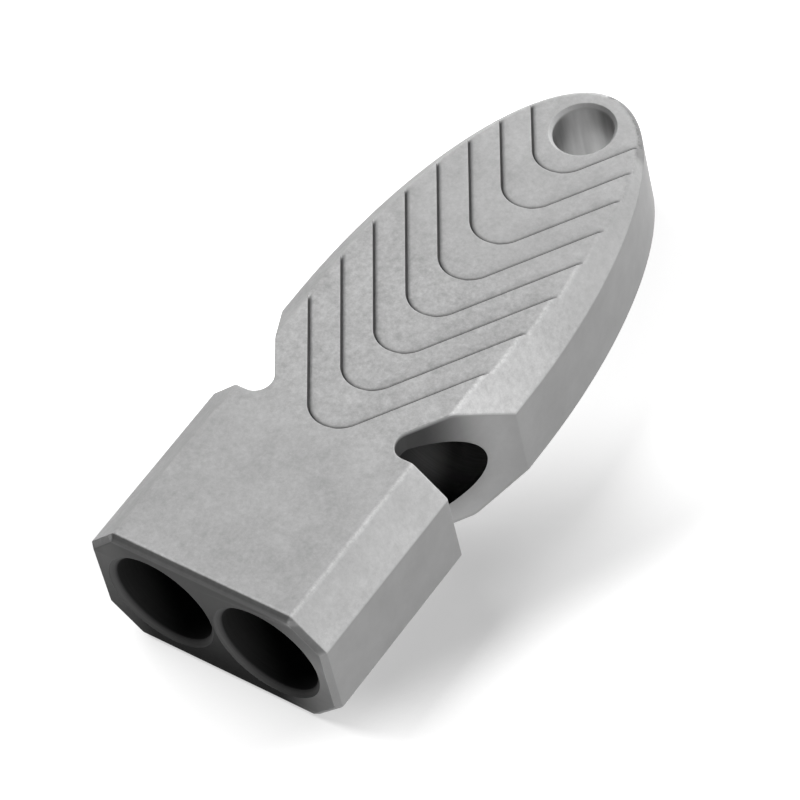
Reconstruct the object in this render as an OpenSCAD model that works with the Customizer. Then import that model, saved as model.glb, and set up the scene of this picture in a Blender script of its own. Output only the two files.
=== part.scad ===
// Survival whistle with two sounding tubes and no ball, milled from one block of titanium.
// Millimetres. The mouth faces -Y, the leaf-shaped grip points to +Y, and the top is +Z.
// The origin is under the middle of the whistle, on the face that it lies on.

/* [Body] */
// Length from the mouth face to the tip of the leaf
body_length = 50.5; // [48:0.1:64]
// Width across the side faces
body_width = 20; // [19:0.1:26]
// Height of the mouthpiece, from its bottom face to its top face
body_height = 11.3; // [10.6:0.1:14]
// Height that the steps leave at the tip, round the lanyard hole
tip_height = 6.85; // [6:0.05:9]
// Length over which the sides curve in to the tip
taper_length = 25.5; // [20:0.1:32]
// Bevel on the four long edges, measured along each face
edge_bevel = 2.5; // [0.5:0.1:3.4]
// Bevel round the mouth face
mouth_bevel = 0.4; // [0.1:0.05:0.8]

/* [Bores] */
// Diameter of each round bore
bore_d = 8; // [6:0.1:8.6]
// Wall between the two bores
bore_web = 1; // [0.9:0.1:2.4]
// Bevel at the mouth of each bore
bore_bevel = 0.4; // [0.1:0.05:0.45]
// Length of the left sounding chamber, from the window's face to the end of its straight wall
left_chamber = 18.5; // [12:0.1:19.5]
// Length of the right sounding chamber, which is shorter so that the two notes beat
right_chamber = 17; // [12:0.1:19.5]
// Angle of the point that the drill leaves at the blind end
drill_angle = 118; // [100:1:170]

/* [Windows] */
// Length of the mouthpiece, from the mouth face to the windows
mouth_length = 14.9; // [12:0.05:18]
// Depth of each window, from the side face to its rounded root
window_depth = 4.65; // [4:0.05:6]
// Radius at the root of each window
window_root_r = 1.25; // [0.5:0.05:2]
// Angle of each window's sloping lip, from the length of the whistle
lip_angle = 35; // [26:0.5:48]

/* [Steps] */
// Distance from one V-shaped step to the next
step_pitch = 3.93; // [3:0.01:6]
// Angle of the V's arms, from the length of the whistle
step_angle = 35; // [26:0.5:55]
// Radius at the point of each V
step_r = 2.5; // [1:0.1:4]
// How far the first V's point lies ahead of the windows' face
step_lead = 0.15; // [0:0.05:3]
// Width of the line cut along the foot of each step
line_w = 0.2; // [0.1:0.01:0.4]
// Depth of that line
line_depth = 0.12; // [0.05:0.01:0.2]

/* [Lanyard hole] */
// Diameter of the hole
hole_d = 4.5; // [3:0.1:6]
// Wall between the hole and the tip
hole_wall = 1.45; // [1:0.05:4]
// Bevel at both ends of the hole
hole_bevel = 0.25; // [0.1:0.05:0.5]
// Least room between the hole's bevel and the last V's point
hole_room = 0.6; // [0.2:0.1:2]

/* [Windway plugs] */
// Distance from the mouth face to the plugs
plug_setback = 5; // [4.5:0.1:8]
// Thickness of the slot for the breath, between a plug's flat and the bore
windway_h = 0.9; // [0.5:0.05:1.5]
// How much wider the slot is where the breath enters it
inlet_h = 0.8; // [0.2:0.1:1.5]
// Length over which the slot narrows behind its inlet
inlet_length = 2.5; // [1:0.1:4]
// Gap round each plug, for the bonding compound
plug_gap = 0.02; // [0.01:0.01:0.05]
// Bevel round the front end of each plug
plug_bevel = 0.3; // [0.1:0.05:0.5]

/* [Hidden] */
half_w = body_width / 2;
half_h = body_height / 2;
// Half the height of the flat side face, between the two bevels
side_h = half_h - edge_bevel;
// Where the straight sides end and the curve to the tip starts
taper_start = body_length - taper_length;
bore_r = bore_d / 2;
bore_x = (bore_d + bore_web) / 2;
hole_r = hole_d / 2;
hole_y = body_length - hole_wall - hole_r;
// Centre of the rounded root of the right window
root_centre = [half_w - window_depth + window_root_r, mouth_length + window_root_r];
first_point = mouth_length - step_lead;
last_point = hole_y - hole_r - hole_bevel - hole_room;
// As many steps as fit between the mouthpiece and the lanyard hole
step_count = floor((last_point - first_point) / step_pitch) + 1;
step_drop = (half_h - tip_height / 2) / step_count;
plug_length = mouth_length - plug_setback;
plug_r = bore_r - plug_gap;
plug_flat = bore_r - windway_h;
// How far a cut runs past the metal that it leaves
clear = 1;
// Straight stretches that draw the curve from one side round the tip to the other
curve_parts = 80;
// Straight stretches that draw the rounded point of a V or the root of a window
arc_parts = 12;
round_parts = 96;

// Carries a shape from the whistle's mouth and middle plane to the part's own origin
module place() {
    translate([0, -body_length / 2, half_h]) children();
}

// Points along an arc, from one angle to another
function arc(centre, r, from, to) =
    [for (i = [0 : arc_parts])
        let (angle = from + (to - from) * i / arc_parts)
        centre + r * [cos(angle), sin(angle)]];

// A point on the half ellipse that rounds the leaf, set in square to the edge.
// The angle runs from 0 at the right side through 90 at the tip to 180 at the left side.
function leaf_point(angle, inset) =
    let (normal = [cos(angle) / half_w, sin(angle) / taper_length])
    let (inward = -normal / norm(normal))
    [half_w * cos(angle), taper_start + taper_length * sin(angle)] + inset * inward;

// The outline seen from above: straight sides from the mouth, then the half ellipse
function outline(inset) = concat(
    [[inset - half_w, mouth_bevel], [half_w - inset, mouth_bevel]],
    [for (i = [0 : curve_parts]) leaf_point(180 * i / curve_parts, inset)]
);

// The eight-sided face at the mouth, set in by its bevel on every side
function mouth_face() =
    let (w = half_w - mouth_bevel, h = half_h - mouth_bevel)
    let (corner = edge_bevel - mouth_bevel * (2 - sqrt(2)))
    [
        [w, corner - h], [w, h - corner], [w - corner, h], [corner - w, h],
        [-w, h - corner], [-w, corner - h], [corner - w, -h], [w - corner, -h]
    ];

// The bevelled block before anything is cut into it
module blank() {
    hull() {
        linear_extrude(height = 2 * side_h, center = true) polygon(outline(0));
        linear_extrude(height = body_height, center = true) polygon(outline(edge_bevel));
        translate([0, mouth_bevel, 0])
            rotate([90, 0, 0])
                linear_extrude(height = mouth_bevel)
                    polygon(mouth_face());
    }
}

// Everything tipward of a V with a rounded point
module beyond_v(point, r) {
    centre = [0, point + r];
    touch = centre + r * [cos(step_angle), -sin(step_angle)];
    far_y = body_length + clear;
    far_x = touch.x + (far_y - touch.y) * tan(step_angle);
    polygon(concat(
        arc(centre, r, 180 + step_angle, 360 - step_angle),
        [[far_x, far_y], [-far_x, far_y]]
    ));
}

// The line at the foot of a V's step
module v_line(point) {
    difference() {
        beyond_v(point, step_r);
        beyond_v(point + line_w, step_r - line_w);
    }
}

// The cuts that leave the V-shaped steps on the top face
module steps() {
    for (i = [1 : step_count]) {
        point = first_point + (i - 1) * step_pitch;
        floor_z = half_h - i * step_drop;
        translate([0, 0, floor_z])
            linear_extrude(height = half_h + clear - floor_z)
                beyond_v(point, step_r);
        translate([0, 0, floor_z - line_depth])
            linear_extrude(height = line_depth + step_drop / 2)
                v_line(point);
    }
}

// The right window: a square face towards the mouth, a rounded root and a sloping lip
module window() {
    lip = root_centre + window_root_r * [-cos(lip_angle), sin(lip_angle)];
    far_x = half_w + clear;
    far_y = lip.y + (far_x - lip.x) / tan(lip_angle);
    linear_extrude(height = body_height + 2 * clear, center = true)
        polygon(concat(
            [[far_x, far_y], [far_x, mouth_length]],
            arc(root_centre, window_root_r, 270, 180 - lip_angle)
        ));
}

// A bore drilled in from the mouth, through the window and on into the leaf
module bore(x, chamber) {
    straight = mouth_length + chamber;
    translate([x, 0, 0]) rotate([-90, 0, 0]) {
        translate([0, 0, -clear]) cylinder(r = bore_r, h = straight + clear, $fn = round_parts);
        translate([0, 0, -bore_bevel])
            cylinder(r1 = bore_r + 2 * bore_bevel, r2 = bore_r, h = 2 * bore_bevel, $fn = round_parts);
        translate([0, 0, straight])
            cylinder(r1 = bore_r, r2 = 0, h = bore_r / tan(drill_angle / 2), $fn = round_parts);
    }
}

// The lanyard hole, bevelled where it opens on the last step of the top and of the bottom
module lanyard_hole() {
    face = half_h - step_count * step_drop;
    translate([0, hole_y, 0]) {
        cylinder(r = hole_r, h = body_height, center = true, $fn = round_parts);
        for (side = [0, 1]) mirror([0, 0, side])
            translate([0, 0, face - hole_bevel])
                cylinder(r1 = hole_r, r2 = hole_r + 2 * hole_bevel, h = 2 * hole_bevel, $fn = round_parts);
    }
}

module body() {
    color([0.69, 0.69, 0.68]) place() difference() {
        blank();
        steps();
        mirror([0, 0, 1]) steps();
        window();
        mirror([1, 0, 0]) window();
        bore(-bore_x, left_chamber);
        bore(bore_x, right_chamber);
        lanyard_hole();
    }
}

// A plug with one flat, bonded into the right bore with the flat outboard.
// It ends level with the window's face and aims the breath at the window's lip.
module windway_plug_right() {
    color([0.6, 0.6, 0.59]) place() translate([bore_x, 0, 0]) difference() {
        translate([0, plug_setback, 0]) rotate([-90, 0, 0]) {
            cylinder(r1 = plug_r - plug_bevel, r2 = plug_r, h = plug_bevel, $fn = round_parts);
            translate([0, 0, plug_bevel])
                cylinder(r = plug_r, h = plug_length - plug_bevel, $fn = round_parts);
        }
        linear_extrude(height = bore_d, center = true)
            polygon([
                [plug_flat - inlet_h, plug_setback - clear],
                [plug_flat - inlet_h, plug_setback],
                [plug_flat, plug_setback + inlet_length],
                [plug_flat, mouth_length + clear],
                [bore_r + clear, mouth_length + clear],
                [bore_r + clear, plug_setback - clear]
            ]);
    }
}

// The same plug in the left bore, turned half round so that its flat is outboard again
module windway_plug_left() {
    mirror([1, 0, 0]) windway_plug_right();
}

body();
windway_plug_left();
windway_plug_right();
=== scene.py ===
import itertools
import math

import bmesh
import bpy
import numpy as np
from mathutils import Matrix, Vector, geometry


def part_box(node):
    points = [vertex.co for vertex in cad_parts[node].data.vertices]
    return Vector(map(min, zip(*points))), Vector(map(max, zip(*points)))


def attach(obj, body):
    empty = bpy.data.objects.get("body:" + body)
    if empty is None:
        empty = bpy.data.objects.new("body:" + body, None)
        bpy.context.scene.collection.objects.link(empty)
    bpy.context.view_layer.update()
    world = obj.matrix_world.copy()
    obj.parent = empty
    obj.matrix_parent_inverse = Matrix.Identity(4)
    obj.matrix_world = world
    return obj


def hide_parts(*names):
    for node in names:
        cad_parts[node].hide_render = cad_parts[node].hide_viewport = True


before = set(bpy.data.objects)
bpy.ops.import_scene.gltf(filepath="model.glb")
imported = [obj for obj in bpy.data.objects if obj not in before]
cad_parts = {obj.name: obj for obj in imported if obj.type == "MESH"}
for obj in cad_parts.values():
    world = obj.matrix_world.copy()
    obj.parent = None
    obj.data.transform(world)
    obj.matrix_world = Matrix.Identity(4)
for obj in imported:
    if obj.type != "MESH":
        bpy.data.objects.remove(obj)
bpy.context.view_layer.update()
MM = 0.001
scene = bpy.context.scene


# The body. Mouthpiece and leaf-shaped grip are one block of titanium, milled to this outline with
# 45 degree bevels along it, V-shaped steps on both faces and a window in each side. It looks
# bead-blasted and tumbled: satin grey, with every outer edge broken. Its underside isn't seen.
body_low, body_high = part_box("body")
half_w = (body_high.x - body_low.x) / 2 / MM
half_h = (body_high.z - body_low.z) / 2 / MM
length = (body_high.y - body_low.y) / MM
taper_length = 25.5
taper_start = length - taper_length
long_bevel = 2.5
side_h = half_h - long_bevel
mouth_bevel = 0.4
corner_r = 0.13
flat_x = half_w - long_bevel
mouth_edge_z = half_h - mouth_bevel

mouth_length = 14.9
window_depth = 4.65
window_root_r = 1.25
lip_angle = math.radians(35)
lip_corner_r = 0.3


def to_frame(points):
    """Points on the whistle, in millimetres, as points of the frame in metres."""
    return (np.asarray(points, float) + (0, -length / 2, half_h)) * MM


def rounded(corners, turn=math.radians(11)):
    """A closed outline through corners (x, y, radius), with an arc where the radius isn't 0."""
    line = []
    for i, (x, y, r) in enumerate(corners):
        corner = np.array((x, y))
        if r == 0:
            line.append(corner)
            continue
        back = np.array(corners[i - 1][:2]) - corner
        on = np.array(corners[(i + 1) % len(corners)][:2]) - corner
        back, on = back / np.linalg.norm(back), on / np.linalg.norm(on)
        half = math.acos(np.clip(back @ on, -1, 1)) / 2
        middle = (back + on) / np.linalg.norm(back + on)
        centre = corner + middle * r / math.sin(half)
        start = corner + back * r / math.tan(half) - centre
        sweep = math.copysign(math.pi - 2 * half, on[0] * back[1] - back[0] * on[1])
        parts = max(3, math.ceil(abs(sweep) / turn))
        for angle in np.linspace(0, sweep, parts + 1):
            c, s = math.cos(angle), math.sin(angle)
            line.append(centre + (c * start[0] - s * start[1], s * start[0] + c * start[1]))
    return np.array(line)


def leaf(inset, parts):
    """The half ellipse round the tip, set in square to the edge, from the right side to the left."""
    angle = np.linspace(0, math.pi, parts + 1)
    edge = np.stack((half_w * np.cos(angle), taper_start + taper_length * np.sin(angle)), 1)
    normal = np.stack((np.cos(angle) / half_w, np.sin(angle) / taper_length), 1)
    return edge - inset * normal / np.linalg.norm(normal, axis=1)[:, None]


def set_in(loop, inset):
    """A closed outline, drawn anticlockwise, moved inwards."""
    along = np.roll(loop, -1, axis=0) - loop
    along /= np.linalg.norm(along, axis=1)[:, None]
    inward = np.stack((-along[:, 1], along[:, 0]), 1)
    before = np.roll(inward, 1, axis=0)
    return loop + inset * (inward + before) / (1 + (inward * before).sum(1))[:, None]


def distance(points, line):
    """How far each point is from the nearest stretch of a line."""
    start, along = line[:-1], np.diff(line, axis=0)
    found = []
    for some in np.array_split(points, 1 + len(points) // 1500):
        gap = some[:, None] - start
        share = np.clip((gap * along).sum(2) / (along**2).sum(1), 0, 1)
        found.append(np.linalg.norm(gap - share[..., None] * along, axis=2).min(1))
    return np.concatenate(found)


root_x = half_w - window_depth + window_root_r * (1 - 1 / math.tan((math.pi / 2 - lip_angle) / 2))
lip_y = mouth_length + (half_w - root_x) / math.tan(lip_angle)
right_side = [
    (half_w - mouth_bevel, 0, corner_r),
    (half_w, mouth_bevel, corner_r),
    (half_w, mouth_length, corner_r),
    (root_x, mouth_length, window_root_r),
    (half_w, lip_y, lip_corner_r),
]
left_side = [(-x, y, r) for x, y, r in reversed(right_side)]
round_tip = [(x, y, 0) for x, y in leaf(0, 160)]
outline = rounded(right_side + round_tip + left_side)

# The lanyard hole goes straight through near the tip, bevelled on both faces
tip_height = 6.85
hole_r = 2.25
hole_y = length - 1.45 - hole_r
hole_bevel = 0.25
hole_parts = 96


def ring(radius):
    """A circle round the lanyard hole."""
    angle = np.linspace(0, 2 * math.pi, hole_parts, endpoint=False)
    return np.stack((radius * np.cos(angle), hole_y + radius * np.sin(angle)), 1)


# Eight V-shaped steps go down from the mouthpiece to the tip, each with a line cut along its foot
step_count = 8
step_pitch = 3.93
step_points = [mouth_length - 0.15 + i * step_pitch for i in range(step_count)]
step_angle = math.radians(35)
step_r = 2.5
step_drop = (half_h - tip_height / 2) / step_count
line_depth = 0.12
line_w = 0.4


def beyond(point, points):
    """How far each point lies tipward of the step whose rounded point is at this length."""
    x, y = np.abs(points[:, 0]), points[:, 1] - point - step_r
    arm = step_r - x * math.cos(step_angle) + y * math.sin(step_angle)
    in_tip = -x * math.sin(step_angle) > y * math.cos(step_angle)
    return np.where(in_tip, step_r - np.hypot(x, y), arm)


def v_line(point, offset):
    """The line of a step, moved tipward by an offset: its rounded point and its two arms."""
    r = step_r - offset
    angle = np.linspace(math.pi + step_angle, 2 * math.pi - step_angle, 33)
    arc = np.stack((r * np.cos(angle), point + step_r + r * np.sin(angle)), 1)
    far_x = half_w + 0.5
    far_y = arc[-1, 1] + (far_x - arc[-1, 0]) / math.tan(step_angle)
    return np.vstack(([(-far_x, far_y)], arc, [(far_x, far_y)]))


# Across a step: over its broken edge and down the wall. The line starts inside that wall and
# comes up again in a slow curve. It fades out short of the crease that ends its flat.
step_break = 0.04
turn = np.linspace(0, math.pi / 2, 4)
step_at = np.append(step_break * (np.sin(turn) - 1), 0.012)
step_fall = np.append(step_break * (1 - np.cos(turn)), step_drop)
climb = np.array((0, 0.08, 0.2, 0.35, 0.5, 0.65, 0.8, 1))
line_at = np.append((0, 0.012), 0.05 + (line_w - 0.05) * climb)
line_fall = line_depth * np.append((0, 0.75), (1 - climb) ** 2)
line_fade = np.array((0.12, 0.3))

# The painted shade in a line is deepest at its foot and thins out over the flat behind it
shade_at = (-0.09, -0.04, 0.06, 0.13, 0.22, 0.36, 0.9)
shade = (0, 1, 1, 0.5, 0.2, 0.08, 0)
past_line = 0.46

# How widely the creases and the outer edges are rounded over, and the mesh rows that follow them
edge_break = 0.07
hole_break = 0.04
break_rows = np.append(1 - np.cos(np.linspace(0, math.pi / 2, 5)), 1.5)
crease_w = 0.16
fine_crease_w = 0.06
hole_crease_w = 0.03
crease_rows = np.array((-1.4, -1, -0.5, 0, 0.5, 1, 1.4))


def soft_min(a, b, width):
    """The lower of two heights, blended over a width where they cross."""
    share = np.clip(0.5 + 0.5 * (b - a) / width, 0, 1)
    return b + (a - b) * share - width * share * (1 - share)


def inset_of(points):
    """How far in from the long edges of the whistle each point lies, seen from above."""
    x, y = points.T
    return np.where(y > taper_start, distance(points, leaf(0, 600)), half_w - np.abs(x))


def past_crease(steps, inset):
    """How far in each point is from the crease that a flat makes with the long bevel."""
    return inset - (half_h - steps * step_drop - side_h)


def shut(loop):
    """A closed outline with its first point again at its end."""
    return np.vstack((loop, loop[:1]))


def top_height(points):
    """The height of the top face over each point, from the middle of the whistle."""
    x, y = points.T
    inset = inset_of(points)
    height = np.full(len(points), half_h)
    for i, point in enumerate(step_points):
        s = beyond(point, points)
        shown = np.interp(past_crease(i + 1, inset), line_fade, (0, 1))
        height -= np.interp(s, step_at, step_fall) + shown * np.interp(s, line_at, line_fall)
    height = soft_min(height, side_h + inset, crease_w)
    front = mouth_edge_z + y
    slanted = half_w + side_h - math.sqrt(2) * (mouth_bevel - y) - np.abs(x)
    height = soft_min(height, soft_min(front, slanted, fine_crease_w), fine_crease_w)
    from_hole = np.hypot(x, y - hole_y) - hole_r
    height = soft_min(height, tip_height / 2 - hole_bevel + from_hole, hole_crease_w)
    for gap, r in ((distance(points, shut(outline)), edge_break), (np.abs(from_hole), hole_break)):
        height += np.sqrt(r**2 - np.clip(r - gap, 0, r) ** 2) - r
    return height


def runs(line, kept):
    """The stretches of a line whose points are kept."""
    for run in np.split(np.arange(len(line)), np.flatnonzero(np.diff(kept)) + 1):
        if kept[run[0]] and len(run) > 1:
            yield line[run]


def long_creases():
    """The rows along the crease between the long bevels and the flat of each step."""
    straight = np.linspace(0, taper_start, 40)[:-1]
    for i in range(step_count + 1):
        for row in crease_rows:
            inset = half_h - i * step_drop - side_h + row * crease_w
            side = np.stack((np.full(len(straight), half_w - inset), straight), 1)
            line = np.vstack((side, leaf(inset, 240), (side * (-1, 1))[::-1]))
            kept = np.ones(len(line), bool)
            if i > 0:
                kept &= beyond(step_points[i - 1], line) > -0.3
            if i < step_count:
                kept &= beyond(step_points[i], line) < 0.4
            yield from runs(line, kept)


def face_rows():
    """All the lines that the mesh of the top face follows."""
    rows = [shut(set_in(outline, edge_break * row)) for row in break_rows]
    rows += [shut(ring(hole_r + hole_break * row)) for row in break_rows]
    rows += [shut(ring(hole_r + hole_bevel + row * hole_crease_w)) for row in crease_rows]
    for y in mouth_bevel + crease_rows * fine_crease_w:
        rows.append(np.array([(-half_w - 1, y), (half_w + 1, y)]))
    for side in (-1, 1):
        mitre = (side * (flat_x - mouth_bevel * (math.sqrt(2) - 1)), 0)
        rows.append(np.array([mitre, (side * flat_x, mouth_bevel)]))
    row_at = np.concatenate((shade_at[:1], step_at, line_at, (past_line,), shade_at[-1:]))
    rows += [v_line(point, s) for point in step_points for s in np.unique(row_at)]
    rows += list(long_creases())
    return rows + [leaf(inset, 120) for inset in (0.8, 1.6)]


def inside(points, loop):
    """Which points lie inside a closed outline."""
    x, y = points.T
    found = np.zeros(len(points), bool)
    for (ax, ay), (bx, by) in zip(loop, np.roll(loop, -1, axis=0)):
        if ay != by:
            crossing = ax + (y - ay) * (bx - ax) / (by - ay)
            found ^= ((ay > y) != (by > y)) & (x < crossing)
    return found


def block_mesh():
    """The block before it is drilled: two stepped faces and the wall between them."""
    spots, edges = [], []
    for row in face_rows():
        edges += [(len(spots) + i, len(spots) + i + 1) for i in range(len(row) - 1)]
        spots += [Vector(p) for p in row]
    spots, _, triangles, *_ = geometry.delaunay_2d_cdt(spots, edges, [], 0, 1e-5, False)
    flat = np.array([tuple(p) for p in spots], float)
    triangles = np.array(triangles)
    centre = flat[triangles].mean(1)
    clear = np.hypot(centre[:, 0], centre[:, 1] - hole_y) > hole_r * math.cos(math.pi / hole_parts)
    triangles = triangles[inside(centre, outline) & clear]
    used, triangles = np.unique(triangles, return_inverse=True)
    triangles = triangles.reshape(-1, 3)
    flat = flat[used]
    height = top_height(flat)
    count = len(flat)

    # The wall has extra rows just under its two edges, so that its own face stays flat
    near, far = 0.05, 0.3
    levels = [height, height - near, height - far, far - height, near - height, -height]
    verts = np.vstack([np.column_stack((flat, level)) for level in levels])
    lowest = 5 * count
    faces = [tuple(t) for t in triangles] + [tuple(t[::-1] + lowest) for t in triangles]
    ways = {pair for a, b, c in triangles for pair in ((a, b), (b, c), (c, a))}
    for a, b in ways:
        if (b, a) not in ways:
            for row in range(0, lowest, count):
                faces.append((b + row, a + row, a + row + count, b + row + count))
    mesh = bpy.data.meshes.new("milled_body")
    mesh.from_pydata(to_frame(verts).tolist(), [], faces)
    tidy = bmesh.new()
    tidy.from_mesh(mesh)
    bmesh.ops.delete(tidy, geom=[v for v in tidy.verts if not v.link_faces], context="VERTS")
    tidy.to_mesh(mesh)
    tidy.free()
    return mesh


class Field:
    """A socket of a material. Sums on it add Math nodes, and add() adds any other node."""

    def __init__(self, socket):
        self.socket = socket

    def add(self, kind, settings={}, inputs={}, output=0):
        """A new node: its settings are made first, then the values or links of its sockets."""
        tree = self.socket.id_data
        node = tree.nodes.new(kind)
        for name, value in settings.items():
            setattr(node, name, value)
        for name, value in inputs.items():
            if isinstance(value, Field):
                tree.links.new(value.socket, node.inputs[name])
            else:
                node.inputs[name].default_value = value
        return Field(node.outputs[output])

    def feed(self, name, value):
        """Link a value into another socket of this socket's own node."""
        self.socket.id_data.links.new(value.socket, self.socket.node.inputs[name])

    def maths(self, operation, *values):
        return self.add("ShaderNodeMath", {"operation": operation}, dict(enumerate(values)))

    def __add__(self, other):
        return self.maths("ADD", self, other)

    def __sub__(self, other):
        return self.maths("SUBTRACT", self, other)

    def __rsub__(self, other):
        return self.maths("SUBTRACT", other, self)

    def __mul__(self, other):
        return self.maths("MULTIPLY", self, other)

    __radd__ = __add__
    __rmul__ = __mul__

    def __abs__(self):
        return self.maths("ABSOLUTE", self)

    def part(self, letter):
        """One of the three numbers of a vector."""
        return self.add("ShaderNodeSeparateXYZ", {}, {"Vector": self}, letter)

    def rise(self, low, high):
        """0 below the low value, 1 above the high one, and a smooth rise between them."""
        inputs = {"Value": self, "From Min": low, "From Max": high}
        return self.add("ShaderNodeMapRange", {"interpolation_type": "SMOOTHSTEP"}, inputs)


def new_finish(name, **values):
    """A material with the plain numbers of its shader set, and the output of that shader."""
    material = bpy.data.materials.new(name)
    material.use_nodes = True
    shader = material.node_tree.nodes["Principled BSDF"]
    for socket, value in values.items():
        shader.inputs[socket.replace("_", " ")].default_value = value
    return material, Field(shader.outputs[0])


def noise(where, scale, detail, roughness, seed):
    """Noise round 0 whose patches are about 1 / scale millimetres wide."""
    moved = where.add("ShaderNodeVectorMath", {"operation": "ADD"}, {0: where, 1: (seed, seed, seed)})
    inputs = {"Vector": moved, "Scale": scale, "Detail": detail, "Roughness": roughness}
    return where.add("ShaderNodeTexNoise", {}, inputs) - 0.5


def in_millimetres(shader):
    """The place in the frame, in millimetres, that the patterns of a finish are laid out in."""
    place = shader.add("ShaderNodeTexCoord", output="Object")
    return place.add("ShaderNodeVectorMath", {"operation": "SCALE"}, {0: place, "Scale": 1 / MM})


def on_whistle(where):
    """The same place as the sizes give it: across, from the mouth face, and up from the middle."""
    return where.part("X"), where.part("Y") + length / 2, where.part("Z") - half_h


def kept(shader, name):
    """A value that is kept at each point of the mesh."""
    return shader.add("ShaderNodeAttribute", {"attribute_name": name}, output="Fac")


def grey(tone):
    """A neutral grey."""
    return tone.add("ShaderNodeCombineColor", {}, {"Red": tone, "Green": tone, "Blue": tone})


def blasted_titanium():
    """Titanium that looks bead-blasted and tumbled: cloudy and grainy, with painted light and shade."""
    # Its tones are matched to one photograph, and much of what they add is painted light and shade
    finish, shader = new_finish("blasted_titanium", IOR=1.4, Specular_IOR_Level=0.05)
    where = in_millimetres(shader)
    across, along, up = on_whistle(where)

    # The broad faces are rougher than the walls, and most of all beside the windows
    broad = abs(shader.add("ShaderNodeNewGeometry", output="Normal").part("Z"))
    rough = (0.12 + 0.88 * broad) * (1.4 + 0.8 * along.rise(12.25, 18.25) - along.rise(29.25, 35.25))
    clouds = noise(where, 0.3, 3, 0.6, seed=3)
    patches = noise(where, 1.1, 3, 0.7, seed=11)
    grain = noise(where, 2.4, 3, 0.85, seed=23)
    neck = along.rise(12.25, 17.25) * (1 - along.rise(22.25, 29.25))
    tone = 0.492 + 0.025 * neck + 0.15 * clouds + rough * (0.1 * patches + 0.19 * grain)

    # Painted light and shade: the long bevels are lighter or darker by how light falls on them, the
    # lanyard hole's front rim darker, and the edges have ragged painted highlights, with shade near the
    # tip. The lines and the roots of the windows are darker with painted shade, and the rest of each
    # window's wall lighter with painted light.
    ragged = noise(where, 2, 4, 0.9, seed=31).rise(-0.15, 0.12)
    tone = tone * (1 + kept(shader, "bevel_and_rim_shading") + 0.4 * kept(shader, "edge_light_and_shade") * (0.25 + 0.75 * ragged))
    tone = tone * (1 - 0.97 * kept(shader, "in_line"))
    window_root = (1 - abs(across).rise(6.1, 9.9)) * up.rise(-half_h, 0.35)
    tone = tone * (1 + kept(shader, "in_window") * (0.28 - 1.13 * window_root))

    # The bevel round the mouth is painted darker with shade, and lighter with painted light on its right
    # side and at its upper left corner
    past_face = along.rise(0, 0.04)
    past_bevel = along.rise(mouth_bevel - 0.07, mouth_bevel + 0.01)
    on_bevel = past_face * (1 - past_bevel)
    on_slant = up.rise(side_h - 0.2, side_h + 0.2)
    lit_bevel_left = (1 - across.rise(-flat_x - 0.2, -flat_x + 0.1)) * (0.27 + 0.73 * on_slant)
    lit_bevel_right = across.rise(flat_x - 0.5, flat_x + 0.5) * (1 - on_slant)
    tone = tone * (1 + on_bevel * (1.15 * lit_bevel_left + 0.42 * lit_bevel_right - 0.42))

    # The mouth face is painted with shade, darkest under the bores, and painted lighter at its ends, with
    # a painted highlight along the bevel's edge
    right_end = across.rise(4.5, 9.6) * (1 - 0.6 * up.rise(0.85, 3.85))
    left_end = 1 - across.rise(-9, -6)
    low = 1 - up.rise(-4.65, 4.35)
    tone = tone * (1 + (1 - past_face) * (1.35 * right_end + 0.4 * left_end - 0.37 - 0.63 * low))
    over_face = up.rise(mouth_edge_z - 0.35, mouth_edge_z - 0.1)
    bevel_edge = over_face * (1 - up.rise(mouth_edge_z + 0.05, mouth_edge_z + 0.2))
    tone = tone * (1 + 0.45 * bevel_edge * (1 - past_bevel))

    # The wall of the lanyard hole has no grain and shines more than the faces. Its vertical streaks are
    # painted reflections, and its one light spot a painted highlight
    in_hole = kept(shader, "in_hole")
    upright = where.add("ShaderNodeVectorMath", {"operation": "MULTIPLY"}, {0: where, 1: (1, 1, 0.1)})
    streaks = noise(upright, 1, 2, 0.6, seed=4)
    highlight_spot = (-1.3, hole_y + 1.85 - length / 2, 0.6)
    between = {0: upright, 1: highlight_spot}
    off_highlight = upright.add("ShaderNodeVectorMath", {"operation": "DISTANCE"}, between, "Value")
    bright = 0.15 - 0.34 * off_highlight.rise(0.4, 1.9) + 0.9 * streaks
    shader.feed("Base Color", grey(tone * (1 + in_hole * bright)))
    shader.feed("Metallic", 0.75 * in_hole)
    shader.feed("Roughness", 0.5 + 0.1 * patches - 0.1 * in_hole)
    grain = grain * (1 - in_hole)
    bump = where.add("ShaderNodeBump", {}, {"Strength": 0.25, "Distance": 0.02 * MM, "Height": grain})
    shader.feed("Normal", bump)
    return finish


def bore_painted_shade():
    """The walls of the bores, whose painted shade makes them near black, as the photograph shows them."""
    finish, shader = new_finish("bore_painted_shade", Roughness=0.55, IOR=1.4, Specular_IOR_Level=0.1)
    where = in_millimetres(shader)
    stretched = where.add("ShaderNodeVectorMath", {"operation": "MULTIPLY"}, {0: where, 1: (0.3, 9, 0.3)})
    rings = noise(stretched, 1, 3, 0.6, seed=5)
    across, along, _ = on_whistle(where)
    # The painted shade is lighter at the mouth, and painted light lifts the walls past the windows
    past_window = along.rise(18.25, 23.25) * abs(across).rise(1, 5)
    tone = 0.025 + 0.13 * (1 - along.rise(0.15, 0.55)) + 0.5 * past_window
    shader.feed("Base Color", grey(tone * (1 + 0.6 * rings)))
    bump = where.add("ShaderNodeBump", {}, {"Strength": 0.4, "Distance": 0.02 * MM, "Height": rings})
    shader.feed("Normal", bump)
    return finish


finishes = [blasted_titanium(), bore_painted_shade()]
body = bpy.data.objects.new("milled_body", block_mesh())
for finish in finishes:
    body.data.materials.append(finish)
scene.collection.objects.link(body)

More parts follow.
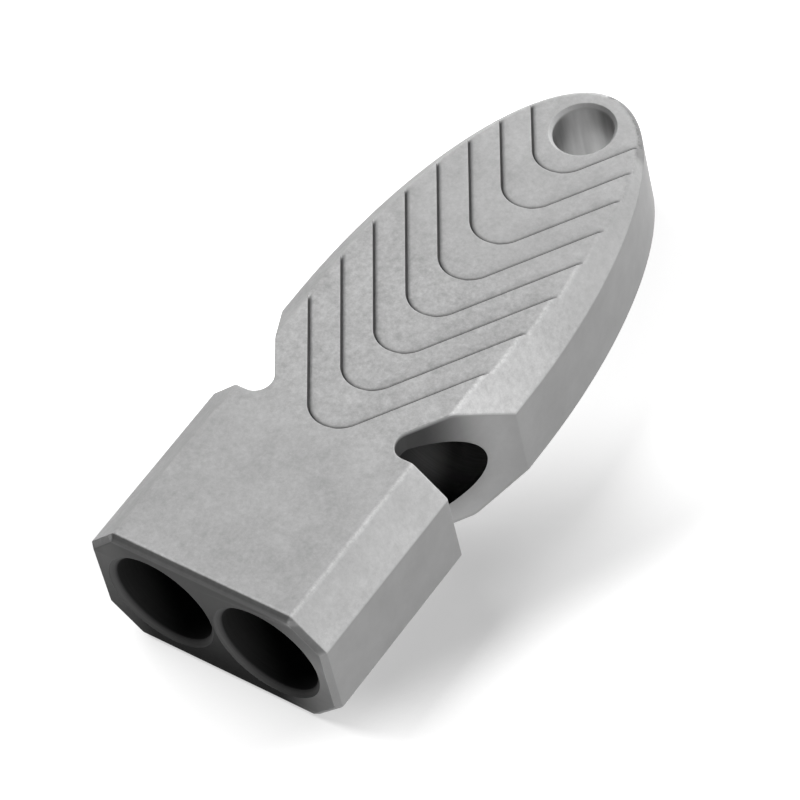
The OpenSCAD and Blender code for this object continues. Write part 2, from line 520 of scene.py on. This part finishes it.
# Two bores are drilled side by side from the mouth, past the windows and on into the grip, where
# the drill's point leaves a cone. A countersink breaks the edge of each at the mouth.
bore_r = 4
bore_x = 4.5
bore_bevel = 0.4
chambers = {"left": (-bore_x, 18.5), "right": (bore_x, 17)}
drill_angle = math.radians(118)


def bore_cutter(name, middle, chamber):
    """The metal that the drill takes out, as a closed shape turned about the bore's own line."""
    straight = mouth_length + chamber
    over = 0.05
    profile = [
        (0, -over),
        (bore_r + bore_bevel + over, -over),
        (bore_r, bore_bevel),
        (bore_r, straight),
        (0, straight + bore_r / math.tan(drill_angle / 2)),
    ]
    parts = 128
    turned = bmesh.new()
    rings = []
    for r, y in profile:
        angle = [0] if r == 0 else np.linspace(0, 2 * math.pi, parts, endpoint=False)
        points = [(middle + r * math.sin(t), y, r * math.cos(t)) for t in angle]
        rings.append([turned.verts.new(p) for p in to_frame(points)])
    for band, (one, two) in enumerate(zip(rings, rings[1:])):
        for i in range(parts):
            j = (i + 1) % parts
            corners = [one[i % len(one)], one[j % len(one)], two[j % len(two)], two[i % len(two)]]
            face = turned.faces.new(dict.fromkeys(corners))
            face.material_index = int(band > 0)
    bmesh.ops.recalc_face_normals(turned, faces=turned.faces)
    mesh = bpy.data.meshes.new(name)
    for finish in finishes:
        mesh.materials.append(finish)
    turned.to_mesh(mesh)
    turned.free()
    return bpy.data.objects.new(name, mesh)


for side, (middle, chamber) in chambers.items():
    cutter = bore_cutter(side + "_bore", middle, chamber)
    scene.collection.objects.link(cutter)
    cut = body.modifiers.new("drilled", "BOOLEAN")
    cut.object = cutter
    cut.solver = "EXACT"
    cut.material_mode = "INDEX"
    drilled = bpy.data.meshes.new_from_object(body.evaluated_get(bpy.context.evaluated_depsgraph_get()))
    body.modifiers.clear()
    body.data = drilled
    bpy.data.objects.remove(cutter)

body.data.name = "milled_body"
body.data.shade_smooth()
body.data.set_sharp_from_angle(angle=math.radians(38))
even = body.modifiers.new("even_shading", "WEIGHTED_NORMAL")
even.keep_sharp = True

# What the finish needs to know at each point of the mesh: where the lines, the window's walls,
# the lanyard hole's wall and the lighter edges lie, and how light the long bevels are. These mark
# where the finish paints light and shade, and the hole's wall also where it shines.
places = np.empty(3 * len(body.data.vertices))
body.data.vertices.foreach_get("co", places)
places = places.reshape(-1, 3) / MM - (0, -length / 2, half_h)
flat, height = places[:, :2], np.abs(places[:, 2])
x, y = flat.T
inset = inset_of(flat)
below_top = top_height(flat) - height
on_top = np.clip(1 - below_top / 0.05, 0, 1)
in_line = np.zeros(len(flat))
passed = np.zeros(len(flat), int)
for i, point in enumerate(step_points):
    s = beyond(point, flat)
    passed += s > 0
    ahead = s * np.interp(x, (-1, 1), (9, 1))
    behind = s - np.interp(np.abs(x), (1.2, 2.2), (0.06, 0))
    s = np.where(s < 0, ahead, behind)
    shown = np.interp(past_crease(i + 1, inset), line_fade, (0, 1))
    in_line = np.maximum(in_line, shown * np.interp(s, shade_at, shade))
in_line *= np.interp(x, (-1, 1), (0.9, 1))
past = past_crease(passed, inset)

# The creases on the right have painted highlights on the first four flats, and painted shade from the
# sixth on
crease_light = np.where(x > 0, np.array((1, 1, 0.7, 0.5, 0, -0.4, -0.5, -0.5, -1))[passed], 0.25)
crease = crease_light * np.clip(1 - np.abs(past) / (1.4 * crease_w), 0, 1)
# Painted highlights along the mouth's bevel and along the window's edge
at_mouth = 0.8 * np.clip(1 - np.abs(y - mouth_bevel) / 0.2, 0, 1)
at_window = 0.3 * np.clip(1 - np.abs(y - mouth_length + 0.05) / 0.1, 0, 1) * (np.abs(x) > root_x + 0.8)
# The long bevel on the right is painted lighter or darker along its length by how light falls on it, and
# the left one a little darker
bevel_light_stops = (0, 14, 18, 24, 32, 37, 42, 45.8, 46.4)
bevel_light_shade = np.interp(y, bevel_light_stops, (0.06, 0.14, 0.55, 0.26, 0.05, -0.02, -0.13, -0.13, -0.42))
from_hole = np.hypot(x, y - hole_y) - hole_r
# The lanyard hole's front rim is darkened with painted shade
near_rim = np.clip(1 - from_hole / 0.3, 0, 1) * np.clip((x - y + hole_y) / hole_r, 0, 1) * on_top
in_wall = np.clip(below_top / 0.2, 0, 1) * (inset < window_depth)
on_long_bevel = np.clip(0.5 - past / crease_w / 2, 0, 1) * on_top
values = {
    "in_line": in_line * on_top,
    "edge_light_and_shade": np.where(crease != 0, crease, np.maximum(at_mouth, at_window)) * on_top,
    "bevel_and_rim_shading": np.where(x > 0, bevel_light_shade, -0.17) * on_long_bevel - 0.5 * near_rim,
    "in_window": in_wall * (y > mouth_length + 0.01) * (y < lip_y - 0.1) * (inset > 0.02),
    "in_hole": in_wall * (from_hole < 0.02),
}
for name, value in values.items():
    layer = body.data.attributes.new(name, "FLOAT", "POINT")
    layer.data.foreach_set("value", value)
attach(body, "root")
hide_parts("body")


# The windway plugs, which the photograph can't show. Each is a short length of titanium bar,
# turned to fit its bore and milled with one flat, which leaves the slot for the breath. It is
# bonded in place behind the mouth.
def turned_titanium():
    """Turned titanium with fine rings, as the lathe leaves it."""
    finish, shader = new_finish("turned_titanium", Roughness=0.45, IOR=1.4, Specular_IOR_Level=0.3)
    where = in_millimetres(shader)
    stretched = where.add("ShaderNodeVectorMath", {"operation": "MULTIPLY"}, {0: where, 1: (0.3, 12, 0.3)})
    rings = noise(stretched, 1, 3, 0.6, seed=7)
    shader.feed("Base Color", grey(0.42 + 0.1 * rings))
    bump = where.add("ShaderNodeBump", {}, {"Strength": 0.3, "Distance": 0.02 * MM, "Height": rings})
    shader.feed("Normal", bump)
    return finish


plug_finish = turned_titanium()
for side in chambers:
    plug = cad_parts["windway_plug_" + side]
    plug.data.materials.clear()
    plug.data.materials.append(plug_finish)


# The floor. A sheet of white paper that shows white round the whistle and throws little light back
# up at it. It keeps a soft shadow beside the mouthpiece, and its own glow hides it along the grip.
paper_half = 2000
below = 0.01
sides = (-paper_half, paper_half)
corners = [(x * MM, y * MM, -below * MM) for x, y in itertools.product(sides, sides)]
floor_mesh = bpy.data.meshes.new("floor")
floor_mesh.from_pydata(corners, [], [(0, 2, 3, 1)])
floor = bpy.data.objects.new("floor", floor_mesh)
scene.collection.objects.link(floor)
paper, paper_shader = new_finish("white_paper", Roughness=1, IOR=1)
paper_shader.socket.node.inputs["Base Color"].default_value = (0.06, 0.06, 0.06, 1)
shown = paper_shader.add("ShaderNodeBsdfDiffuse", {}, {"Color": (0.44, 0.44, 0.44, 1)})
on_floor = in_millimetres(paper_shader)
across, along = on_floor.part("X"), on_floor.part("Y")
beside_grip = (along - 0.5 * across).rise(-15.5, 3.5)
off_corner = (across - 0.5 * along).rise(19.5, 26.5)
faded = 0.46 + 0.5 * beside_grip + 0.35 * off_corner + 0.12 * (1 - along.rise(-26, -20))
glow = paper_shader.add("ShaderNodeEmission", {}, {"Color": grey(faded), "Strength": 1})
both = paper_shader.add("ShaderNodeAddShader", {}, {0: shown, 1: glow})
camera_ray = paper_shader.add("ShaderNodeLightPath", output="Is Camera Ray")
glossy_ray = paper_shader.add("ShaderNodeLightPath", output="Is Glossy Ray")
through_ray = paper_shader.add("ShaderNodeLightPath", output="Is Transmission Ray")
seen = camera_ray + glossy_ray + through_ray
mixed = paper_shader.add("ShaderNodeMixShader", {}, {0: seen, 1: paper_shader, 2: both})
out = paper.node_tree.nodes["Material Output"]
paper.node_tree.links.new(mixed.socket, out.inputs["Surface"])
floor_mesh.materials.append(paper)


# The light. Soft lamps stand behind the whistle and to its right, with a weak one to its left, and
# the room in front is dim, so the mouth is its darkest side. The floor has a lamp of its own, which
# throws the soft shadow.
lit_floor = bpy.data.collections.new("lit_floor")
lit_floor.objects.link(floor)
lit_whistle = bpy.data.collections.new("lit_whistle")
for o in [body] + list(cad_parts.values()):
    lit_whistle.objects.link(o)


def lamp(name, azimuth, elevation, strength, size, receivers):
    """A square lamp that lights a white face turned to it up to the given strength."""
    away = 0.5
    data = bpy.data.lights.new(name, "AREA")
    data.size = size
    data.energy = strength * (math.pi * away) ** 2
    o = bpy.data.objects.new(name, data)
    a, e = math.radians(azimuth), math.radians(elevation)
    place = Vector((math.cos(a) * math.cos(e), math.sin(a) * math.cos(e), math.sin(e)))
    o.location = place * away
    o.rotation_euler = place.to_track_quat("Z", "Y").to_euler()
    scene.collection.objects.link(o)
    o.light_linking.receiver_collection = receivers


lamp("back_lamp", 95, 40, 1.14, 0.3, lit_whistle)
lamp("low_back_lamp", 115, 12, 0.5, 0.25, lit_whistle)
lamp("right_lamp", -14, 12, 0.59, 0.25, lit_whistle)
lamp("left_lamp", 190, 5, 0.25, 0.25, lit_whistle)
lamp("floor_lamp", 180, 48, 1.7, 0.36, lit_floor)

world = bpy.data.worlds.new("studio")
world.use_nodes = True
world.node_tree.nodes["Background"].inputs["Color"].default_value = (0.04, 0.04, 0.04, 1)
scene.world = world


# The camera. It stands ahead of the whistle and to its right, well above it, turned a little and
# far enough off to keep the sides nearly parallel.
view_azimuth = math.radians(-43.905)
view_elevation = math.radians(50.238)
view_roll = math.radians(-14.704)
view_distance = 380.58
aim = Vector((-3.172, 0.292, 0)) * MM
lens = 240.68
toward = Vector((
    math.cos(view_azimuth) * math.cos(view_elevation),
    math.sin(view_azimuth) * math.cos(view_elevation),
    math.sin(view_elevation),
))
camera_data = bpy.data.cameras.new("camera")
camera_data.lens = lens
camera_data.sensor_width = 36
camera = bpy.data.objects.new("camera", camera_data)
camera.location = aim + toward * view_distance * MM
camera.rotation_mode = "QUATERNION"
turned = toward.to_track_quat("Z", "Y").to_matrix() @ Matrix.Rotation(view_roll, 3, "Z")
camera.rotation_quaternion = turned.to_quaternion()
scene.collection.objects.link(camera)
scene.camera = camera
scene.view_settings.view_transform = "Standard"
